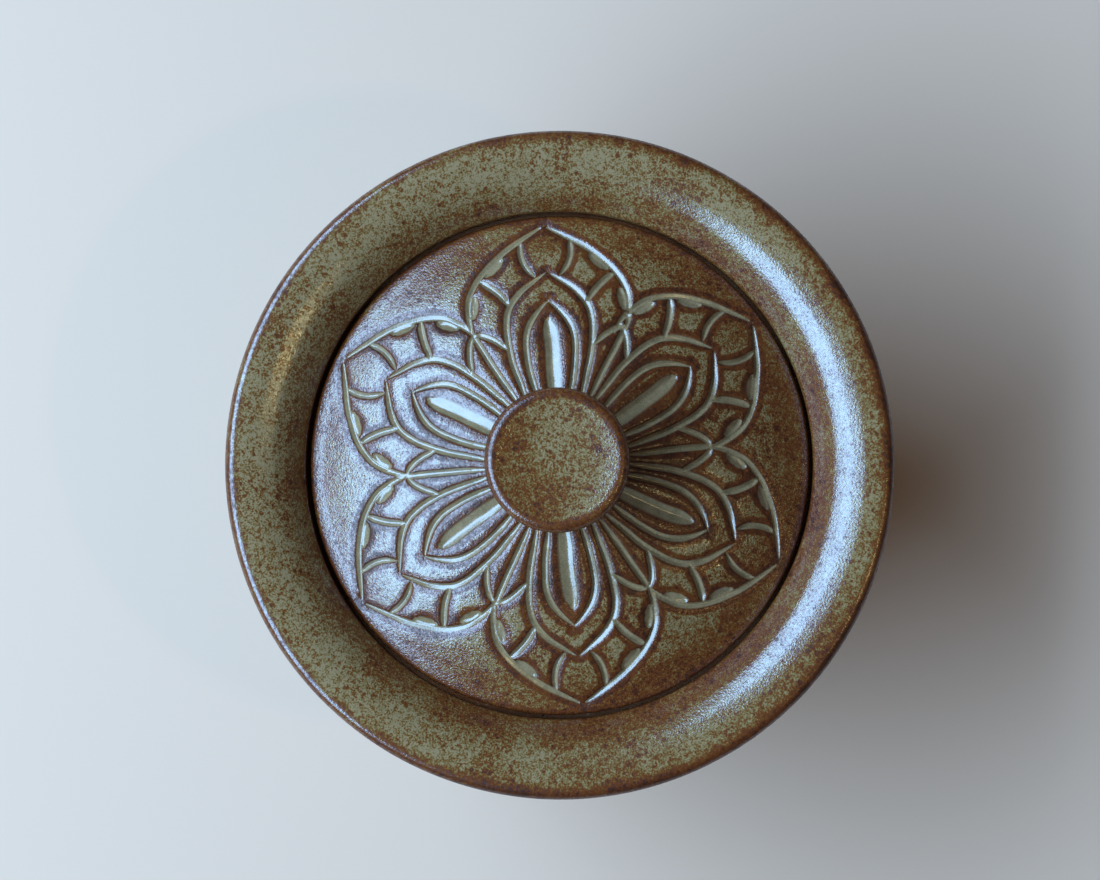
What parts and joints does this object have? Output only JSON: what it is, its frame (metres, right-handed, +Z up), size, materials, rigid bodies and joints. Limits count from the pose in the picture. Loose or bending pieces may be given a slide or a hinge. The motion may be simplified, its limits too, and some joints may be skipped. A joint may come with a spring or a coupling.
{
  "type": "incense burner",
  "caption": "Footed stoneware incense burner: a round bowl with a wide flared rim, an ash bed with a spiral coil, and a drop-in domed lid carved with a lotus.",
  "frame": {"origin": "centre of the foot ring, on the surface that the burner stands on", "axes": "+Z up through the knob; one petal of the lid points 95 degrees round from +X, next to +Y"},
  "size_m": [0.1298, 0.1298, 0.0977],
  "materials": {
    "ash_glaze": "glossy olive ash glaze, finely pitted, with rust-brown iron speckle",
    "bare_clay": "unglazed toasted stoneware, fine grit",
    "ash": "fine pale incense ash, powdery",
    "incense": "pressed wood-powder incense, matt"
  },
  "bodies": {
    "bowl": {"bowl": "ash_glaze", "foot_ring": "bare_clay", "ash_bed": "ash", "incense_coil": "incense"},
    "lid": {"lid_dome": "ash_glaze", "lid_flange": "bare_clay", "lid_knob": "ash_glaze"}
  },
  "joints": [
    {"name": "lid_lift", "type": "slide", "parent": "bowl", "child": "lid", "axis": [0, 0, 1], "range_m": [0, 0.1]}
  ]
}
